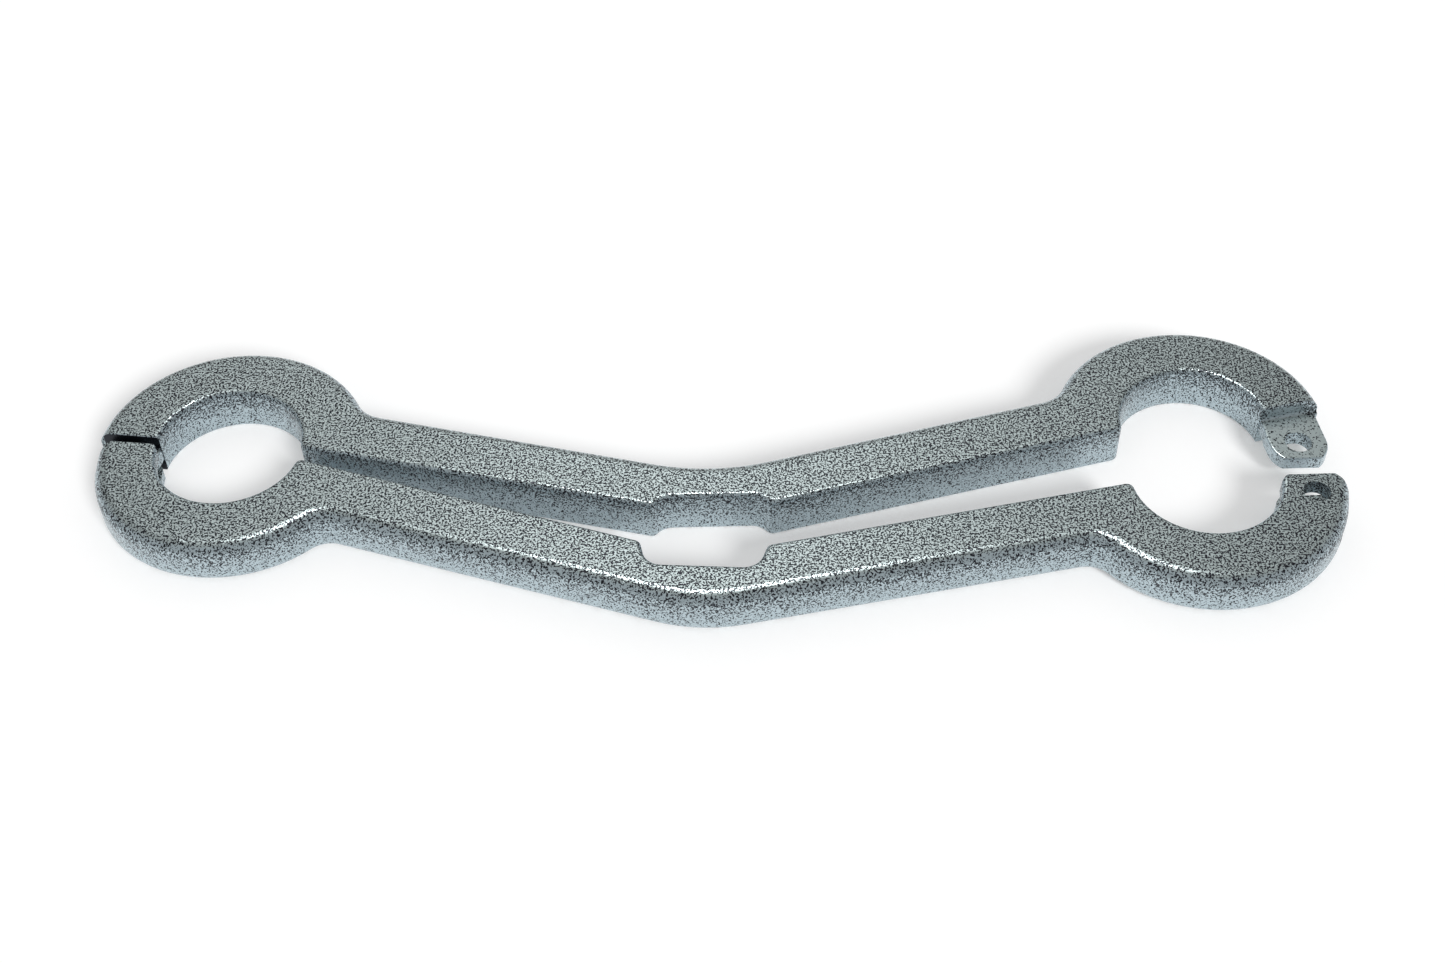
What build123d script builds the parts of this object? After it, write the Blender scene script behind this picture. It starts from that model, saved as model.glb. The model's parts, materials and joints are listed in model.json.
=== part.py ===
"""Double-ended clamshell pipe wrench: two chevron castings hinged on a pressed pin.

Each casting has a half ring at both ends. The rear casting carries tongues and the front casting
carries forks, so the two mesh as knuckles: one is pinned as the hinge, the other is left open and
takes a lock pin once the wrench is closed round a pipe.

Origin: centre of the front half ring at the hinge end, on the face that the wrench lies on.
+X runs to the lock end, +Y to the rear casting, +Z up. Profiles are drawn for the closed wrench.
"""
import os
from dataclasses import dataclass
from math import asin, cos, degrees, radians, sin, sqrt, tan

from build123d import *

os.makedirs("parts", exist_ok=True)

# Driving dimensions, in millimetres and degrees
thickness = 20.0  # of both castings, face to face
ring_spacing = 404.0  # between the ring centres of one casting
bore_radius = 30.3  # pipe seat, for pipe of 60.3 mm outside diameter
ring_wall = 27.0  # from the pipe seat to the outside of the ring
arm_slope = 14.9  # fall of each arm from its ring to the bend
arm_width = 25.5  # at the bend
parting_offset = 4.5  # of the parting line from the ring centres, towards the rear
parting_gap = 0.5  # between the closed castings, at the bores
parting_taper = 0.4  # lean of each parting face, so the arms stand further apart at the bend
window_width = 49.6  # window that the castings leave at the bend, at its mid height
window_height = 19.4
window_offset = 3.0  # of the window's centre from the bend of the parting line, towards the rear
window_draft = 16.0  # of the window's sides
window_corner = 8.0
rear_bend_radius = 90.0
front_bend_radius = 70.0
rear_neck_radius = 16.0  # between ring and arm
front_neck_radius = 10.0
corner_round = 3.0  # where the parting faces meet a bore or the window
outer_edge_fillet = 5.8
inner_edge_fillet = 2.0
small_edge_fillet = 1.0  # shoulders, ear ends and tongue edges
rest_opening = 4.03  # of the hinge, as the wrench lies

# Knuckles
pin_radius = 5.5
pin_interference = 0.01  # of the pin in the ears, on the radius
pin_running_clearance = 0.05  # of the pin in the tongue, on the radius
pin_angle = 9.0  # of the pins below the line of ring centres, at the ring
knuckle_clearance = 0.6  # between round ends and the shoulder or slot floor they turn past
ring_blend = 80.0  # angle at which a ring's outside starts to draw in to its knuckle
ring_allowance = 5.0  # angle that a pipe seat is drawn past its end, before the end is shaped

ear_thickness = 6.6
ear_corner = 1.5  # where the ears' flat ends meet their round sides
ear_root = 3.0  # angle that the shaped ears run into the ring, below the pins
ear_seat_radius = 14.2  # of the ears' corners at the pipe seat, round the pin
hinge_ear_radius = 12.0  # of the ears' outer corners, round the pin
lock_ear_radius = 14.2
hinge_ear_inset = 2.0  # that the ring's outside has drawn in by, at the pin
lock_ear_inset = 0.0
hinge_ear_end = 9.3  # from the pin to the flat end of the ears
lock_ear_end = 10.3

tongue_side_clearance = 0.15  # to each ear
hinge_tongue_radius = 10.8  # round the pin
lock_tongue_radius = 12.2
hinge_tongue_inset = 2.7  # tongue set back from the ring's outside, at the shoulder
lock_tongue_inset = 1.5
tongue_end = 9.5  # from the pin to the flat end of the tongue
tongue_relief = 0.3  # tongue set back from the pipe seat
tongue_root = 6.0  # angle that the tongue runs into the shoulder
lock_shoulder = 15.6  # from the pin to the shoulder; at the hinge end it just clears the ears
hinge_shoulder_inset = 0.8  # that the ring's outside has drawn in by, at the shoulder
lock_shoulder_inset = 1.2
hinge_cove = 0.5  # radius between the shoulder and the tongue
lock_cove = 1.5

# Values that follow from them
ring_radius = bore_radius + ring_wall
middle = ring_spacing / 2
pin_circle = bore_radius + ring_wall / 2
slot_height = thickness - 2 * ear_thickness
tongue_thickness = slot_height - 2 * tongue_side_clearance
tongue_bottom = ear_thickness + tongue_side_clearance
slot_floor_angle = degrees(asin((lock_tongue_radius + knuckle_clearance) / pin_circle)) + pin_angle
ring_run_out = 0.6 * ring_wall  # that a ring's outside is drawn past its end
reach = 2 * ring_radius  # long enough to cross a ring


@dataclass
class End:
    """One end of the wrench, with the sizes in which its knuckle differs from the other end's."""

    centre: float  # of the ring, along X
    outer: int  # direction along X that leads away from the bend
    ear_radius: float
    ear_inset: float
    ear_end: float
    shoulder: float
    shoulder_inset: float
    tongue_radius: float
    tongue_inset: float
    cove: float

    def place(self, point):
        """A point drawn at the hinge end, as it lies at this end."""
        return Vector(self.centre - self.outer * point.X, point.Y, point.Z)

    def ear_angle(self):
        """Angle of the ears' flat end above the line of ring centres."""
        return degrees(asin(self.ear_end / pin_circle)) - pin_angle

    def shoulder_angle(self):
        """Angle of the shoulder above the line of ring centres."""
        return degrees(asin(self.shoulder / pin_circle)) - pin_angle


hinge = End(
    centre=0,
    outer=-1,
    ear_radius=hinge_ear_radius,
    ear_inset=hinge_ear_inset,
    ear_end=hinge_ear_end,
    shoulder=hinge_ear_radius + knuckle_clearance,
    shoulder_inset=hinge_shoulder_inset,
    tongue_radius=hinge_tongue_radius,
    tongue_inset=hinge_tongue_inset,
    cove=hinge_cove,
)
lock = End(
    centre=ring_spacing,
    outer=1,
    ear_radius=lock_ear_radius,
    ear_inset=lock_ear_inset,
    ear_end=lock_ear_end,
    shoulder=lock_shoulder,
    shoulder_inset=lock_shoulder_inset,
    tongue_radius=lock_tongue_radius,
    tongue_inset=lock_tongue_inset,
    cove=lock_cove,
)
ends = (hinge, lock)


def outward(radius, angle):
    """Point at a radius from the hinge-end ring centre, at an angle above the line of ring centres."""
    return Vector(-radius * cos(radians(angle)), radius * sin(radians(angle)))


def far_crossing(radius, start, slope):
    """Where a line from start, falling towards the bend, leaves a circle round the ring centre."""
    direction = Vector(cos(radians(slope)), -sin(radians(slope)))
    along = start.dot(direction)
    return start + direction * (sqrt(along**2 - start.dot(start) + radius**2) - along)


def parting_face(side):
    """Bore corner and bend end of a casting's parting face, for side +1 (rear) or -1 (front)."""
    normal = Vector(sin(radians(arm_slope)), cos(radians(arm_slope)))
    slope = arm_slope - side * parting_taper
    foot = normal * (parting_offset + side * parting_gap / 2)
    corner = far_crossing(bore_radius, foot, slope)
    return corner, Vector(middle, corner.Y - (middle - corner.X) * tan(radians(slope)))


def arm_edge(side):
    """Bend apex and ring crossing of a casting's outer arm edge."""
    bend = parting_face(side)[1] + Vector(0, side * arm_width / cos(radians(arm_slope)))
    start = Vector(0, bend.Y + middle * tan(radians(arm_slope)))
    return bend, far_crossing(ring_radius, start, arm_slope)


rear_corner, rear_face_bend = parting_face(1)
rear_bend, rear_neck = arm_edge(1)
front_corner, front_face_bend = parting_face(-1)
front_bend, front_neck = arm_edge(-1)
pin_centre = outward(pin_circle, -pin_angle)
window_centre = (rear_face_bend + front_face_bend) / 2 + Vector(0, window_offset)
rear_floor = window_centre + Vector(0, window_height / 2)
front_floor = window_centre - Vector(0, window_height / 2)


def window_rim(side):
    """Where a casting's parting face meets the window's side, at the hinge side of the bend."""
    corner, bend = parting_face(side)
    rise = (corner.Y - bend.Y) / (middle - corner.X)
    draft = side * tan(radians(window_draft))
    half_width = (window_width / 2 - (bend.Y - window_centre.Y) * draft) / (1 + rise * draft)
    return bend + Vector(-half_width, half_width * rise)


def nearest(shapes, *points):
    """The vertex or edge nearest to each point."""
    return [shapes.sort_by_distance(point)[0] for point in points]


def both_ends(*points):
    """Points drawn at the hinge end, as they lie at each end."""
    return [end.place(point) for end in ends for point in points]


def both_faces(plane, *points):
    """Profile points on the lower and the upper face of a casting."""
    return [plane.from_local_coords((point.X, point.Y, z)) for point in points for z in (0, thickness)]


# The rear casting is drawn closed on a plane that is turned open about the hinge pin
turn = radians(rest_opening)
rear_origin = pin_centre + Vector(
    -pin_centre.X * cos(turn) + pin_centre.Y * sin(turn),
    -pin_centre.X * sin(turn) - pin_centre.Y * cos(turn),
)
rear_plane = Plane(rear_origin, x_dir=(cos(turn), sin(turn), 0), z_dir=(0, 0, 1))

# Envelope that ends the rear rings at their shoulders, with rounded edges
with BuildPart() as shoulder_envelope:
    with BuildSketch(rear_plane):
        with BuildLine():
            Polyline(
                (0, -reach),
                (0, 0),
                hinge.place(outward(reach, hinge.shoulder_angle())),
                (-reach, reach),
                (ring_spacing + reach, reach),
                lock.place(outward(reach, lock.shoulder_angle())),
                (ring_spacing, 0),
                (ring_spacing, -reach),
                close=True,
            )
        make_face()
    extrude(amount=thickness)
    fillet(shoulder_envelope.faces().filter_by(Axis.Z).edges(), small_edge_fillet)

# Tongues, run into the shoulders, with a cove where they leave them
with BuildPart() as tongues:
    for end in ends:
        root_angle = end.shoulder_angle() + tongue_root
        root_radii = (bore_radius, ring_radius - end.tongue_inset)
        root = [end.place(outward(radius, root_angle)) for radius in root_radii]
        with BuildSketch(rear_plane.offset(tongue_bottom)):
            with BuildLine():
                Line(*root)
            with Locations(end.place(pin_centre)):
                Circle(end.tongue_radius)
            make_hull()
            with Locations((end.centre, 0)):
                Circle(bore_radius + tongue_relief, mode=Mode.SUBTRACT)
            with Locations(end.place(pin_centre) - (0, tongue_end)):
                Rectangle(reach, reach, align=(Align.CENTER, Align.MAX), mode=Mode.SUBTRACT)
        extrude(amount=tongue_thickness)
    fillet(tongues.faces().filter_by(Axis.Z).edges(), small_edge_fillet)
    for end in ends:
        inside = end.place(outward(bore_radius + tongue_relief, end.shoulder_angle()))
        outside = end.place(outward(ring_radius - end.tongue_inset, end.shoulder_angle()))
        inside = rear_plane.from_local_coords(inside + (0, 0, thickness / 2))
        outside = rear_plane.from_local_coords(outside + (0, 0, thickness / 2))
        towards_pin = (outside - inside).cross(Vector(0, 0, end.outer))
        cove_height = tongue_thickness / 2 + end.cove
        with BuildSketch(Plane(inside, x_dir=towards_pin, z_dir=outside - inside)):
            Rectangle(2 * end.cove, 2 * cove_height)
            with Locations((end.cove, cove_height), (end.cove, -cove_height)):
                Circle(end.cove, mode=Mode.SUBTRACT)
        extrude(amount=(outside - inside).length)

# Window at the bend, as the rear casting is cut out for it
with BuildSketch() as window:
    Trapezoid(window_width + window_height * tan(radians(window_draft)), window_height, 90 - window_draft)
    fillet(window.vertices().group_by(Axis.Y)[-1], window_corner)

# Rear casting: half rings, arm, shoulders and tongues
with BuildPart() as rear_half:
    with BuildSketch(rear_plane) as rear_profile:
        with BuildLine():
            for end in ends:
                shoulder_edge = outward(ring_radius - end.shoulder_inset, end.shoulder_angle())
                seat_end = end.place(outward(bore_radius, end.shoulder_angle() - ring_allowance))
                Line(rear_bend, end.place(rear_neck))
                ring = ThreePointArc(
                    end.place(rear_neck),
                    end.place(Vector(0, ring_radius)),
                    end.place(outward(ring_radius, ring_blend)),
                )
                blend = TangentArc(ring @ 1, end.place(shoulder_edge), tangent=ring % 1)
                run_out = PolarLine(blend @ 1, ring_run_out, direction=blend % 1)
                Line(run_out @ 1, seat_end)
                ThreePointArc(seat_end, end.place(Vector(0, bore_radius)), end.place(rear_corner))
                Line(end.place(rear_corner), rear_face_bend)
        make_face()
        with Locations(window_centre):
            add(window.sketch, mode=Mode.SUBTRACT)
        fillet(nearest(rear_profile.vertices(), *both_ends(rear_corner, window_rim(1))), corner_round)
        fillet(nearest(rear_profile.vertices(), *both_ends(rear_neck)), rear_neck_radius)
        fillet(nearest(rear_profile.vertices(), rear_bend), rear_bend_radius)
    extrude(amount=thickness)
    fillet(nearest(rear_half.edges(), *both_faces(rear_plane, rear_bend)), outer_edge_fillet)
    fillet(nearest(rear_half.edges(), *both_faces(rear_plane, rear_floor)), inner_edge_fillet)
    add(shoulder_envelope.part, mode=Mode.INTERSECT)
    add(tongues.part)
    with Locations(*[rear_plane.from_local_coords(point) for point in both_ends(pin_centre)]):
        Hole(pin_radius + pin_running_clearance)

rear_half.part.label = "rear_half"
export_step(rear_half.part, "parts/rear_half.step")

# Envelope that ends the front rings at their ears: flat, and round the pins to either side
with BuildPart() as ear_envelope:
    for end in ends:
        across = outward(1, -pin_angle)
        upward = outward(1, 90 - pin_angle)
        flat = outward(1, end.ear_angle())
        flat_foot = flat * flat.dot(pin_centre)
        outer_side = pin_centre + across * end.ear_radius
        seat_side = pin_centre - across * ear_seat_radius
        outer_corner = flat_foot + flat * sqrt(end.ear_radius**2 - end.ear_end**2)
        seat_corner = flat_foot - flat * sqrt(ear_seat_radius**2 - end.ear_end**2)
        below = upward * pin_circle * tan(radians(2 * ear_root))
        with BuildSketch() as ear:
            with BuildLine():
                outer_line = Line(end.place(outer_side - below), end.place(outer_side))
                outer_arc = TangentArc(outer_line @ 1, end.place(outer_corner), tangent=outer_line % 1)
                seat_line = Line(end.place(seat_side - below), end.place(seat_side))
                seat_arc = TangentArc(seat_line @ 1, end.place(seat_corner), tangent=seat_line % 1)
                Line(outer_arc @ 1, seat_arc @ 1)
                Line(outer_line @ 0, seat_line @ 0)
            make_face()
            fillet(nearest(ear.vertices(), end.place(outer_corner), end.place(seat_corner)), ear_corner)
        extrude(amount=thickness)
    fillet(ear_envelope.faces().filter_by(Axis.Z).edges(), small_edge_fillet)
    with BuildSketch(Plane.XY.offset(-thickness)):
        with BuildLine():
            Polyline(
                (0, 0),
                hinge.place(outward(reach, -pin_angle - ear_root)),
                (-reach, -2 * reach),
                (ring_spacing + reach, -2 * reach),
                lock.place(outward(reach, -pin_angle - ear_root)),
                (ring_spacing, 0),
                close=True,
            )
        make_face()
    extrude(amount=3 * thickness)

# Front casting: half rings, arm and forked ends
with BuildPart() as front_half:
    with BuildSketch() as front_profile:
        with BuildLine():
            for end in ends:
                ear_edge = outward(ring_radius - end.ear_inset, -pin_angle)
                seat_end = end.place(outward(bore_radius, end.ear_angle() + ring_allowance))
                Line(front_bend, end.place(front_neck))
                ring = ThreePointArc(
                    end.place(front_neck),
                    end.place(Vector(0, -ring_radius)),
                    end.place(outward(ring_radius, -ring_blend)),
                )
                blend = TangentArc(ring @ 1, end.place(ear_edge), tangent=ring % 1)
                run_out = PolarLine(blend @ 1, ring_run_out, direction=blend % 1)
                Line(run_out @ 1, seat_end)
                ThreePointArc(seat_end, end.place(Vector(0, -bore_radius)), end.place(front_corner))
                Line(end.place(front_corner), front_face_bend)
        make_face()
        with Locations(window_centre):
            add(window.sketch, rotation=180, mode=Mode.SUBTRACT)
        fillet(nearest(front_profile.vertices(), *both_ends(front_corner, window_rim(-1))), corner_round)
        fillet(nearest(front_profile.vertices(), *both_ends(front_neck)), front_neck_radius)
        fillet(nearest(front_profile.vertices(), front_bend), front_bend_radius)
    extrude(amount=thickness)
    fillet(nearest(front_half.edges(), *both_faces(Plane.XY, front_bend)), outer_edge_fillet)
    fillet(nearest(front_half.edges(), *both_faces(Plane.XY, front_floor)), inner_edge_fillet)
    add(ear_envelope.part, mode=Mode.INTERSECT)
    with BuildSketch(Plane.XY.offset(ear_thickness)):
        for end in ends:
            with BuildLine():
                Polyline(
                    (end.centre, 0),
                    end.place(outward(reach, -slot_floor_angle)),
                    end.place(Vector(-reach, reach)),
                    close=True,
                )
            make_face()
    extrude(amount=slot_height, mode=Mode.SUBTRACT)
    with Locations(*both_ends(pin_centre)):
        Hole(pin_radius)

front_half.part.label = "front_half"
export_step(front_half.part, "parts/front_half.step")

# Hinge pin, pressed flush into both ears at the hinge end
with BuildPart() as hinge_pin:
    with BuildSketch():
        with Locations(pin_centre):
            Circle(pin_radius + pin_interference)
    extrude(amount=thickness)

hinge_pin.part.label = "hinge_pin"
export_step(hinge_pin.part, "parts/hinge_pin.step")
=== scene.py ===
"""Looks and studio for a double-ended clamshell pipe wrench in a silver vein coat."""
import json
import math

import bpy
from mathutils import Euler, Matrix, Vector


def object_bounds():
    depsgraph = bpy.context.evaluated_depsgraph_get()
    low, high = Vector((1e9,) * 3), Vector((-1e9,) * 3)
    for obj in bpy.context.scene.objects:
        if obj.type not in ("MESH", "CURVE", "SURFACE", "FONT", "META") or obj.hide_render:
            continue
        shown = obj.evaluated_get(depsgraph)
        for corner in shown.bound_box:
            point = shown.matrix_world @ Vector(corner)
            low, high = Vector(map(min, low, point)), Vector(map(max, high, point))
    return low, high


bl_info = {
    "name": "Clamshell Pipe Wrench",
    "version": (1, 0, 0),
    "blender": (4, 5, 0),
    "location": "View3D > Sidebar > Wrench",
    "description": "Coats the wrench's castings and pin, and lays them on a white studio floor",
    "category": "Object",
}

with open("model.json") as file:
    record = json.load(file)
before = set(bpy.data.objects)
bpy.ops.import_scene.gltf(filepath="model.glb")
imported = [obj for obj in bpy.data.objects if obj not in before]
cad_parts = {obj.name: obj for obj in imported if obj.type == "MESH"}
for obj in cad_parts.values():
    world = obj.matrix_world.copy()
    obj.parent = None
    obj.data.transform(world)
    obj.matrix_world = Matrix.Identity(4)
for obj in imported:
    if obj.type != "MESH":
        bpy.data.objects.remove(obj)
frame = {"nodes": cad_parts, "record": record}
cad_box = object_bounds()

CASTINGS = ("rear_half", "front_half")
PIN = "hinge_pin"
COAT = "silver_vein_coat"
UP = Vector((0, 0, 1))

# Painted shade in the slit of the closed knuckle, measured from the pin's axis
SLIT_REACH = 0.0140  # to either side, along the ring's radius
SLIT_MIDDLE = 0.0119  # round the ring, towards the rear half
SLIT_HALF_WIDTH = 0.0032
SLIT_DEEP_REACH = 0.0122  # within this and the next, a face is painted dark as shade whichever way it points
SLIT_DEEP_HEIGHT = 0.0070  # above and below mid height

# Open tongue, from the lock hole's axis: where its sparser coat begins, and where it is whole; the
# sparser veins are partly its thinner coat and partly painted light over the cove's shade
TONGUE_RIM = (0.0058, 0.0064)  # outwards from the hole
TONGUE_COVE = (0.0185, 0.0160)  # inwards from the ring
TONGUE_TOP = (0.0096, 0.0080)  # from the castings' faces towards mid height

# How squarely a face points up or down, from 0 to 1: where its coat, and the painted reflection on
# its walls, begin to change, and where they have changed
EDGE_FACING = (0.30, 0.80)
FLAT_FACING = (0.75, 0.97)
END_FACING = (0.75, 0.90)  # the same round the ring, for the end faces in the slit, which are painted dark as shade
WALL_FOOT = 0.0060  # below mid height, where a wall's veins begin to thin towards its foot, a painted reflection of the floor

FLOOR_BOUNCE = 0.85  # share of the light that the floor throws back on the wrench

lowest, highest = cad_box
middle = (lowest + highest) / 2
mounts = {mount["name"]: mount for mount in frame["record"]["mounts"]}
hinge_seat = Vector(mounts["hinge_end_seat"]["pos_m"])
lock_axis = Vector(mounts["lock_tongue_hole"]["pos_m"])
pin_corners = [Vector(corner) for corner in frame["nodes"][PIN].bound_box]
pin_axis = sum(pin_corners, Vector()) / len(pin_corners)
knuckle_outward = (pin_axis - hinge_seat).to_2d().normalized().to_3d()
knuckle_upward = knuckle_outward.cross(UP)  # round the ring, towards the rear half


class CoatSettings(bpy.types.PropertyGroup):
    """Silver vein coat: pale flakes that crawl apart over a near-black ground."""

    flake_colour: bpy.props.FloatVectorProperty(
        name="Flake colour",
        description="Pale silver between the veins, on the flats",
        subtype="COLOR",
        size=3,
        min=0,
        max=1,
        default=(0.50, 0.58, 0.58),
    )
    # Painted reflection: the walls' silver is made paler and bluer to stand in for the white floor
    # that they mirror.
    wall_silver_and_reflection: bpy.props.FloatVectorProperty(
        name="Wall colour",
        description="Pale silver between the veins, on the side walls",
        subtype="COLOR",
        size=3,
        min=0,
        max=1,
        default=(0.57, 0.68, 0.73),
    )
    # Also painted as shade over the slit of the closed knuckle.
    vein_and_shade_colour: bpy.props.FloatVectorProperty(
        name="Vein colour",
        description="Dark ground that shows in the veins",
        subtype="COLOR",
        size=3,
        min=0,
        max=1,
        default=(0.022, 0.026, 0.034),
    )
    vein_spacing: bpy.props.FloatProperty(
        name="Vein spacing",
        description="From one vein to the next",
        subtype="DISTANCE",
        default=0.0008,
        min=0.0004,
        max=0.01,
    )
    wall_spacing: bpy.props.FloatProperty(
        name="Wall vein spacing",
        description="From one vein to the next, on the side walls",
        subtype="DISTANCE",
        default=0.0007,
        min=0.0004,
        max=0.01,
    )
    flat_level: bpy.props.FloatProperty(
        name="Veins on flats",
        description="Noise level below which a flat face shows the ground",
        subtype="FACTOR",
        default=0.475,
        min=0,
        max=1,
    )
    edge_level: bpy.props.FloatProperty(
        name="Veins on edges",
        description="Noise level below which a rounded edge shows the ground",
        subtype="FACTOR",
        default=0.46,
        min=0,
        max=1,
    )
    wall_level: bpy.props.FloatProperty(
        name="Veins on walls",
        description="Noise level below which the top of a side wall shows the ground",
        subtype="FACTOR",
        default=0.495,
        min=0,
        max=1,
    )
    # Painted reflection: fewer veins at a wall's foot stand in for the floor that it reflects.
    foot_level: bpy.props.FloatProperty(
        name="Veins on wall feet",
        description="Noise level below which the foot of a side wall shows the ground",
        subtype="FACTOR",
        default=0.385,
        min=0,
        max=1,
    )
    # Partly the tongue's thinner coat, partly painted light that lifts the shade in its cove.
    tongue_level: bpy.props.FloatProperty(
        name="Veins on the tongue",
        description="Noise level below which the open tongue and its cove show the ground",
        subtype="FACTOR",
        default=0.37,
        min=0,
        max=1,
    )
    vein_softness: bpy.props.FloatProperty(
        name="Vein softness",
        description="Spread of noise levels over which a vein fades out on the flats",
        subtype="FACTOR",
        default=0.03,
        min=0.005,
        max=0.5,
    )
    wall_softness: bpy.props.FloatProperty(
        name="Wall softness",
        description="Spread of noise levels over which a vein fades out on the walls",
        subtype="FACTOR",
        default=0.07,
        min=0.005,
        max=0.5,
    )
    relief: bpy.props.FloatProperty(
        name="Relief",
        description="Height of the flakes above the veins",
        subtype="DISTANCE",
        default=0.0003,
        min=0,
        max=0.001,
    )
    roughness: bpy.props.FloatProperty(
        name="Roughness",
        description="Of the flakes",
        subtype="FACTOR",
        default=0.27,
        min=0,
        max=1,
    )
    metallic: bpy.props.FloatProperty(
        name="Metallic",
        description="Share of aluminium flake in the coat",
        subtype="FACTOR",
        default=0.62,
        min=0,
        max=1,
    )


class StudioSettings(bpy.types.PropertyGroup):
    """Floor, lamps and camera."""

    floor_size: bpy.props.FloatProperty(
        name="Floor size", description="Side of the floor", subtype="DISTANCE", default=12.0, min=2
    )
    floor_tone: bpy.props.FloatProperty(
        name="Floor tone",
        description="How much of the lamps' light the floor shows, and a shadow takes away",
        subtype="FACTOR",
        default=0.8,
        min=0,
        max=1,
    )
    floor_glow: bpy.props.FloatProperty(
        name="Floor glow",
        description="Brightness that the floor shows without lamps",
        default=0.29,
        min=0,
    )
    fill: bpy.props.FloatProperty(
        name="Fill", description="Strength of the light from all round", default=0.36, min=0
    )
    key_power: bpy.props.FloatProperty(
        name="Key power",
        description="Overhead softbox",
        subtype="POWER",
        unit="POWER",
        default=28.0,
        min=0,
    )
    back_power: bpy.props.FloatProperty(
        name="Back power",
        description="Wide panel that the flats mirror",
        subtype="POWER",
        unit="POWER",
        default=3.2,
        min=0,
    )
    middle_power: bpy.props.FloatProperty(
        name="Middle power",
        description="Small panel that the middle of the arms mirrors",
        subtype="POWER",
        unit="POWER",
        default=0.9,
        min=0,
    )
    front_power: bpy.props.FloatProperty(
        name="Front power",
        description="Wide softbox for the walls that face the camera",
        subtype="POWER",
        unit="POWER",
        default=8.0,
        min=0,
    )
    dome_strength: bpy.props.FloatProperty(
        name="Dome strength",
        description="Light on the floor from all of the sky, that the wrench's foot darkens",
        default=0.7,
        min=0,
    )
    sun_strength: bpy.props.FloatProperty(
        name="Sun strength",
        description="Even light on the floor, that throws the shadow to the rear",
        default=2.25,
        min=0,
    )
    lens: bpy.props.FloatProperty(
        name="Lens",
        description="Focal length in millimetres on a 36 mm wide frame",
        default=48.1,
        min=10,
    )
    camera_place: bpy.props.FloatVectorProperty(
        name="Camera place",
        description="In the wrench's frame",
        subtype="TRANSLATION",
        default=(0.2498, -0.5521, 0.5903),
    )
    camera_aim: bpy.props.FloatVectorProperty(
        name="Camera aim",
        description="Point in the middle of the picture",
        subtype="TRANSLATION",
        default=(0.2061, 0.00795, 0.0),
    )
    camera_roll: bpy.props.FloatProperty(
        name="Camera roll",
        description="Turn about the line of sight",
        subtype="ANGLE",
        default=math.radians(-1.583),
    )


class NodeMaker:
    """Adds and links the nodes of one material or world."""

    def __init__(self, tree):
        self.tree = tree
        self.tree.nodes.clear()

    def add(self, kind, inputs=None, **settings):
        """A node with its settings, and its inputs set to values or linked to sockets."""
        node = self.tree.nodes.new(kind)
        for name, value in settings.items():
            setattr(node, name, value)
        for key, value in (inputs or {}).items():
            if isinstance(value, bpy.types.NodeSocket):
                self.tree.links.new(value, node.inputs[key])
            else:
                node.inputs[key].default_value = value
        return node

    def math(self, operation, *values):
        """Output of a Math node."""
        return self.add("ShaderNodeMath", dict(enumerate(values)), operation=operation).outputs[0]

    def vector(self, operation, *values):
        """Outputs of a Vector Math node."""
        node = self.add("ShaderNodeVectorMath", dict(enumerate(values)), operation=operation)
        return node.outputs

    def along(self, point, direction):
        """How far a point lies along a direction."""
        return self.vector("DOT_PRODUCT", point, direction)["Value"]

    def blend(self, share, a, b):
        """Number between a and b."""
        return self.add("ShaderNodeMix", {"Factor": share, "A": a, "B": b}).outputs["Result"]

    def tint(self, share, a, b):
        """Colour between a and b."""
        node = self.add("ShaderNodeMix", {"Factor": share, "A": a, "B": b}, data_type="RGBA")
        return node.outputs["Result"]

    def grain(self, point, spacing):
        """Noise whose lumps are a spacing apart."""
        inputs = {
            "Vector": point,
            "Scale": 1 / spacing,
            "Detail": 1.0,
            "Roughness": 0.5,
            "Distortion": 0.5,
        }
        return self.add("ShaderNodeTexNoise", inputs).outputs["Fac"]

    def ramp(self, value, start, end):
        """Smooth step of a value from 0 at start to 1 at end."""
        inputs = {"Value": value, "From Min": start, "From Max": end}
        node = self.add("ShaderNodeMapRange", inputs, interpolation_type="SMOOTHSTEP")
        return node.outputs["Result"]

    def within(self, value, centre, reach):
        """1 where a value is no further than a reach from a centre, and 0 elsewhere."""
        return self.math("COMPARE", value, centre, reach)

    def both(self, a, b):
        """Where two masks overlap."""
        return self.math("MULTIPLY", a, b)


def grey(level):
    """Colour of one level in all channels."""
    return (level, level, level, 1)


def painted_slit_shade(make, point, normal):
    """1 in the slit of the closed knuckle, which is painted dark as shade, and 0 elsewhere."""
    offset = make.vector("SUBTRACT", point, pin_axis)["Vector"]
    out = make.along(offset, knuckle_outward)
    up = make.along(offset, knuckle_upward)
    height = make.along(offset, UP)
    facing = make.math("ABSOLUTE", make.along(normal, knuckle_upward))

    in_reach = make.within(out, 0.0, SLIT_REACH)
    near = make.both(in_reach, make.within(up, SLIT_MIDDLE, SLIT_HALF_WIDTH))
    in_deep_reach = make.within(out, 0.0, SLIT_DEEP_REACH)
    deep = make.both(in_deep_reach, make.within(height, 0.0, SLIT_DEEP_HEIGHT))
    end_face = make.ramp(facing, *END_FACING)
    return make.both(near, make.math("MAXIMUM", end_face, deep))


def tongue_coat_and_painted_light(make, point):
    """1 on the open tongue and its cove, below the castings' faces, and 0 elsewhere."""
    offset = make.vector("SUBTRACT", point, lock_axis)["Vector"]
    height = make.math("ABSOLUTE", make.along(offset, UP))
    flat = make.vector("MULTIPLY", offset, (1, 1, 0))["Vector"]
    reach = make.vector("LENGTH", flat)["Value"]
    round_hole = make.both(make.ramp(reach, *TONGUE_RIM), make.ramp(reach, *TONGUE_COVE))
    return make.both(round_hole, make.ramp(height, *TONGUE_TOP))


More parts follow.
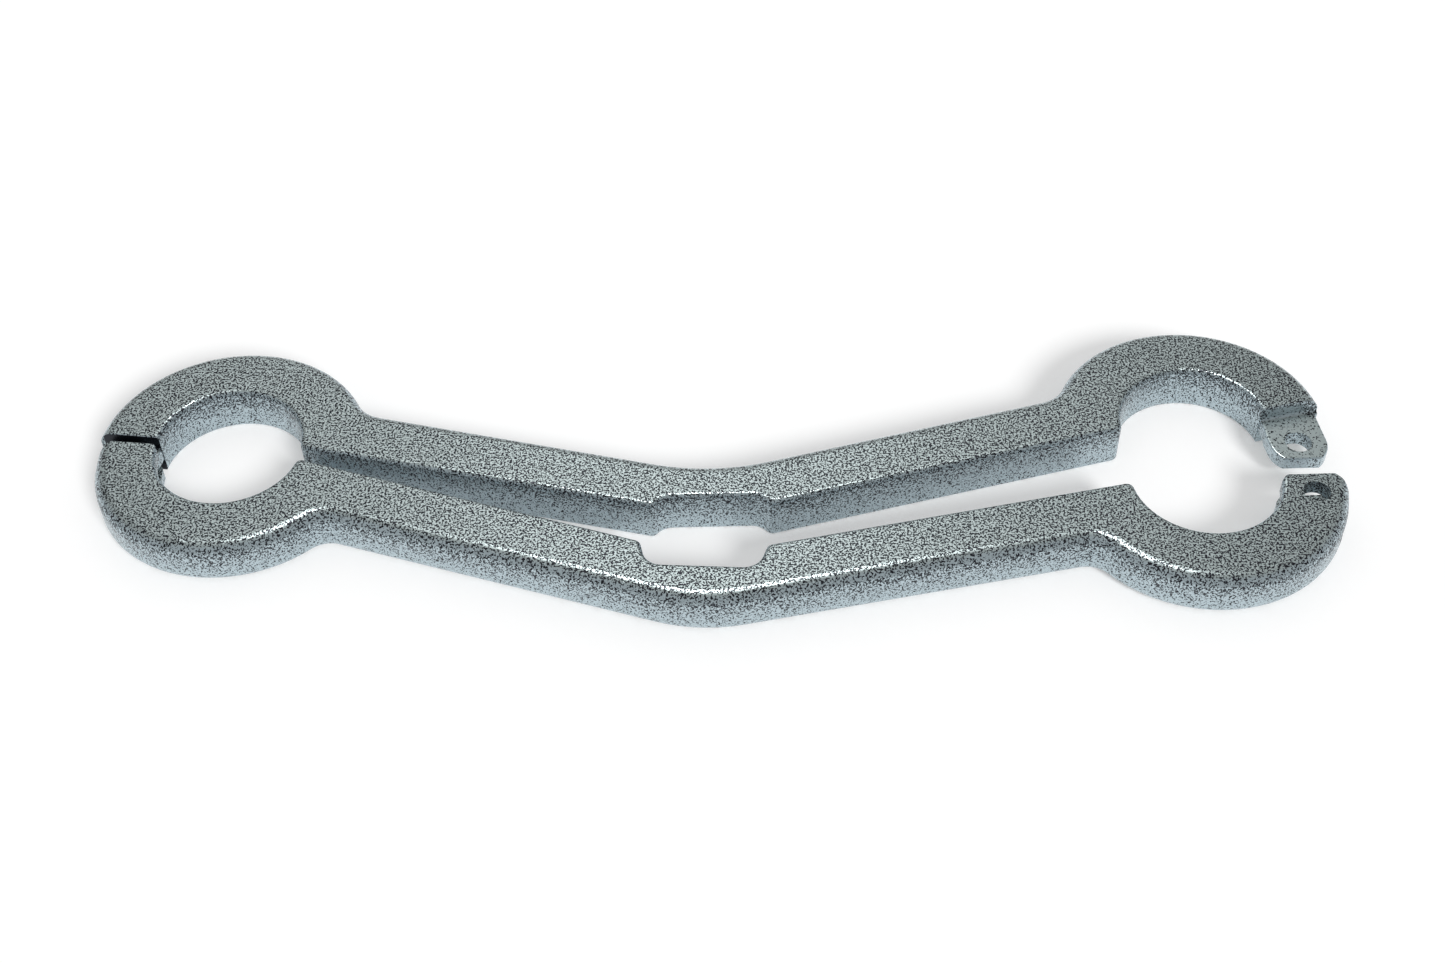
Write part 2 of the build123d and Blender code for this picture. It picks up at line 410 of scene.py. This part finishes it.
def vein_coat(coat):
    """Material of the silver vein coat, whose veins change from the flats to the walls' feet, with
    painted reflection on the walls and painted shade in the knuckle's slit.
    """
    material = bpy.data.materials.new(COAT)
    material.use_nodes = True
    make = NodeMaker(material.node_tree)
    place = make.add("ShaderNodeTexCoord").outputs
    point, normal = place["Object"], place["Normal"]

    facing = make.math("ABSOLUTE", make.along(normal, UP))
    on_edge = make.ramp(facing, *EDGE_FACING)
    on_flat = make.ramp(facing, *FLAT_FACING)
    up_wall = make.ramp(make.along(point, UP), middle.z - WALL_FOOT, highest.z)

    coarse = make.grain(point, coat.vein_spacing)
    fine = make.grain(point, coat.wall_spacing)
    grain = make.blend(on_edge, fine, coarse)

    # Lighter towards a wall's foot: its sparser veins paint the floor's reflection; the denser
    # veins at its top are partly the coat's own and partly painted shade.
    walls = make.blend(up_wall, coat.foot_level, coat.wall_level)
    sides = make.blend(on_edge, walls, coat.edge_level)
    faces = make.blend(on_flat, sides, coat.flat_level)
    # The tongue's sparser veins: partly its thinner coat, partly painted light over the cove's
    # shade.
    level = make.blend(tongue_coat_and_painted_light(make, point), faces, coat.tongue_level)
    spread = make.blend(on_edge, coat.wall_softness, coat.vein_softness)
    above = make.math("DIVIDE", make.math("SUBTRACT", grain, level), spread)
    # Painted shade: the slit of the closed knuckle loses its flakes and shows the dark vein
    # colour.
    unshaded = make.math("SUBTRACT", 1.0, painted_slit_shade(make, point, normal))
    flake = make.both(make.ramp(above, -1.0, 1.0), unshaded)

    # Painted reflection: walls and rounded edges take the paler, bluer silver that stands in for
    # the floor's reflection.
    silver = make.tint(on_flat, (*coat.wall_silver_and_reflection, 1), (*coat.flake_colour, 1))
    colour = make.tint(flake, (*coat.vein_and_shade_colour, 1), silver)
    bump = make.add("ShaderNodeBump", {"Height": flake, "Distance": coat.relief, "Strength": 1.0})
    shader = make.add(
        "ShaderNodeBsdfPrincipled",
        {
            "Base Color": colour,
            "Metallic": coat.metallic,
            "Roughness": coat.roughness,
            "Normal": bump.outputs["Normal"],
        },
    )
    make.add("ShaderNodeOutputMaterial", {"Surface": shader.outputs["BSDF"]})
    return material


def coated(name, material):
    """Gives a CAD node its coat."""
    node = frame["nodes"][name]
    for slot in node.material_slots:
        slot.link = "OBJECT"
        slot.material = material


class WRENCH_OT_coat_castings(bpy.types.Operator):
    """Coat both castings"""

    bl_idname = "wrench.coat_castings"
    bl_label = "Coat Castings"

    def execute(self, context):
        material = vein_coat(context.scene.wrench_coat)
        for name in CASTINGS:
            coated(name, material)
        return {"FINISHED"}


class WRENCH_OT_coat_pin(bpy.types.Operator):
    """Coat the hinge pin over with its castings"""

    bl_idname = "wrench.coat_pin"
    bl_label = "Coat Hinge Pin"

    def execute(self, context):
        coated(PIN, bpy.data.materials[COAT])
        return {"FINISHED"}


def seen_ray(make):
    """1 for rays that the camera, a reflection or a refraction sends, 0 for the rest."""
    path = make.add("ShaderNodeLightPath").outputs
    shiny = make.math("MAXIMUM", path["Is Glossy Ray"], path["Is Transmission Ray"])
    return make.math("MAXIMUM", path["Is Camera Ray"], shiny)


def white_floor(studio):
    """Material of a floor that looks white and still shows the wrench's shadow."""
    material = bpy.data.materials.new("white_floor")
    material.use_nodes = True
    make = NodeMaker(material.node_tree)
    bounce = make.add("ShaderNodeBsdfDiffuse", {"Color": grey(FLOOR_BOUNCE)})
    lit = make.add("ShaderNodeBsdfDiffuse", {"Color": grey(studio.floor_tone)})
    glow = make.add("ShaderNodeEmission", {"Strength": studio.floor_glow})
    white = make.add("ShaderNodeAddShader", {0: lit.outputs[0], 1: glow.outputs[0]})
    inputs = {0: seen_ray(make), 1: bounce.outputs[0], 2: white.outputs[0]}
    mix = make.add("ShaderNodeMixShader", inputs)
    make.add("ShaderNodeOutputMaterial", {"Surface": mix.outputs[0]})
    return material


def studio_floor(studio):
    """Floor that the wrench lies on."""
    foot = (middle.x, middle.y, lowest.z)
    bpy.ops.mesh.primitive_plane_add(size=studio.floor_size, location=foot)
    floor = bpy.context.object
    floor.name = "floor"
    floor.data.materials.append(white_floor(studio))
    return floor


def studio_world(studio):
    """World that lights the wrench from all round, and is white to the camera."""
    world = bpy.data.worlds.new("studio_fill")
    world.use_nodes = True
    make = NodeMaker(world.node_tree)
    fill = make.add("ShaderNodeBackground", {"Strength": studio.fill})
    white = make.add("ShaderNodeBackground", {"Strength": 1.0, "Color": grey(1)})
    camera_ray = make.add("ShaderNodeLightPath").outputs["Is Camera Ray"]
    inputs = {0: camera_ray, 1: fill.outputs[0], 2: white.outputs[0]}
    mix = make.add("ShaderNodeMixShader", inputs)
    make.add("ShaderNodeOutputWorld", {"Surface": mix.outputs[0]})
    return world


def floor_group(name, floor, state):
    """Collection for lamps that light the floor alone, or all but the floor."""
    group = bpy.data.collections.new(name)
    group.objects.link(floor)
    group.collection_objects[0].light_linking.link_state = state
    return group


def hung(light, travel, receivers):
    """Lamp whose light travels in a direction and falls on what a collection says."""
    lamp = bpy.data.objects.new(light.name, light)
    lamp.rotation_euler = travel.to_track_quat("-Z", "Y").to_euler()
    lamp.light_linking.receiver_collection = receivers
    bpy.context.scene.collection.objects.link(lamp)
    return lamp


def softbox(name, power, receivers, size, distance, direction):
    """Square lamp that stands in a direction from the wrench and shines back at it."""
    light = bpy.data.lights.new(name, "AREA")
    light.energy = power
    light.size = size
    towards = Vector(direction).normalized()
    lamp = hung(light, -towards, receivers)
    lamp.location = middle + towards * distance
    return lamp


def far_light(name, strength, receivers, spread, travel):
    """Sun whose light travels in a direction, spread over an angle in degrees."""
    light = bpy.data.lights.new(name, "SUN")
    light.energy = strength
    light.angle = math.radians(spread)
    return hung(light, Vector(travel), receivers)


def studio_camera(studio):
    """Camera at its place, aimed and then rolled about its line of sight."""
    lens = bpy.data.cameras.new("camera")
    lens.sensor_fit = "HORIZONTAL"
    lens.lens = studio.lens
    camera = bpy.data.objects.new("camera", lens)
    camera.location = studio.camera_place
    line_of_sight = Vector(studio.camera_aim) - camera.location
    level = line_of_sight.to_track_quat("-Z", "Y")
    camera.rotation_mode = "QUATERNION"
    camera.rotation_quaternion = level @ Euler((0, 0, studio.camera_roll)).to_quaternion()
    bpy.context.scene.collection.objects.link(camera)
    return camera


class WRENCH_OT_set_studio(bpy.types.Operator):
    """Lay the floor, hang the lamps and place the camera"""

    bl_idname = "wrench.set_studio"
    bl_label = "Set Studio"

    def execute(self, context):
        studio = context.scene.wrench_studio
        scene = context.scene
        scene.view_settings.view_transform = "Standard"
        floor = studio_floor(studio)
        scene.world = studio_world(studio)

        off_floor = floor_group("off_floor", floor, "EXCLUDE")
        key = softbox(
            "key_softbox",
            studio.key_power,
            off_floor,
            size=0.8,
            distance=2.5,
            direction=(-0.05, 0.31, 0.95),
        )
        back = softbox(
            "back_panel",
            studio.back_power,
            off_floor,
            size=1.6,
            distance=2.0,
            direction=(-0.10, 0.72, 0.70),
        )
        centre = softbox(
            "middle_panel",
            studio.middle_power,
            off_floor,
            size=0.6,
            distance=1.9,
            direction=(-0.08, 0.72, 0.70),
        )
        front = softbox(
            "front_softbox",
            studio.front_power,
            off_floor,
            size=1.5,
            distance=2.5,
            direction=(-0.10, -0.80, 0.58),
        )
        front.visible_glossy = False

        on_floor = floor_group("on_floor", floor, "INCLUDE")
        sun = far_light(
            "floor_sun",
            studio.sun_strength,
            on_floor,
            spread=18,
            travel=(-0.458, 0.679, -0.574),
        )
        dome = far_light("floor_dome", studio.dome_strength, on_floor, spread=150, travel=-UP)

        scene.camera = studio_camera(studio)
        return {"FINISHED"}


class WRENCH_PT_panel(bpy.types.Panel):
    """Steps of the wrench's looks"""

    bl_idname = "WRENCH_PT_panel"
    bl_label = "Pipe Wrench"
    bl_space_type = "VIEW_3D"
    bl_region_type = "UI"
    bl_category = "Wrench"

    def draw(self, context):
        for operator in OPERATORS:
            self.layout.operator(operator.bl_idname)
        for settings in (context.scene.wrench_coat, context.scene.wrench_studio):
            box = self.layout.box()
            for name in settings.bl_rna.properties.keys():
                if name not in {"rna_type", "name"}:
                    box.prop(settings, name)


OPERATORS = (WRENCH_OT_coat_castings, WRENCH_OT_coat_pin, WRENCH_OT_set_studio)
CLASSES = (CoatSettings, StudioSettings, *OPERATORS, WRENCH_PT_panel)


def register():
    """Add the classes and the scene's settings."""
    for cls in CLASSES:
        bpy.utils.register_class(cls)
    bpy.types.Scene.wrench_coat = bpy.props.PointerProperty(type=CoatSettings)
    bpy.types.Scene.wrench_studio = bpy.props.PointerProperty(type=StudioSettings)


def unregister():
    """Take away the settings and the classes."""
    del bpy.types.Scene.wrench_studio
    del bpy.types.Scene.wrench_coat
    for cls in reversed(CLASSES):
        bpy.utils.unregister_class(cls)


def main():
    """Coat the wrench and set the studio."""
    register()
    bpy.ops.wrench.coat_castings()
    bpy.ops.wrench.coat_pin()
    bpy.ops.wrench.set_studio()


if __name__ == "__main__":
    main()
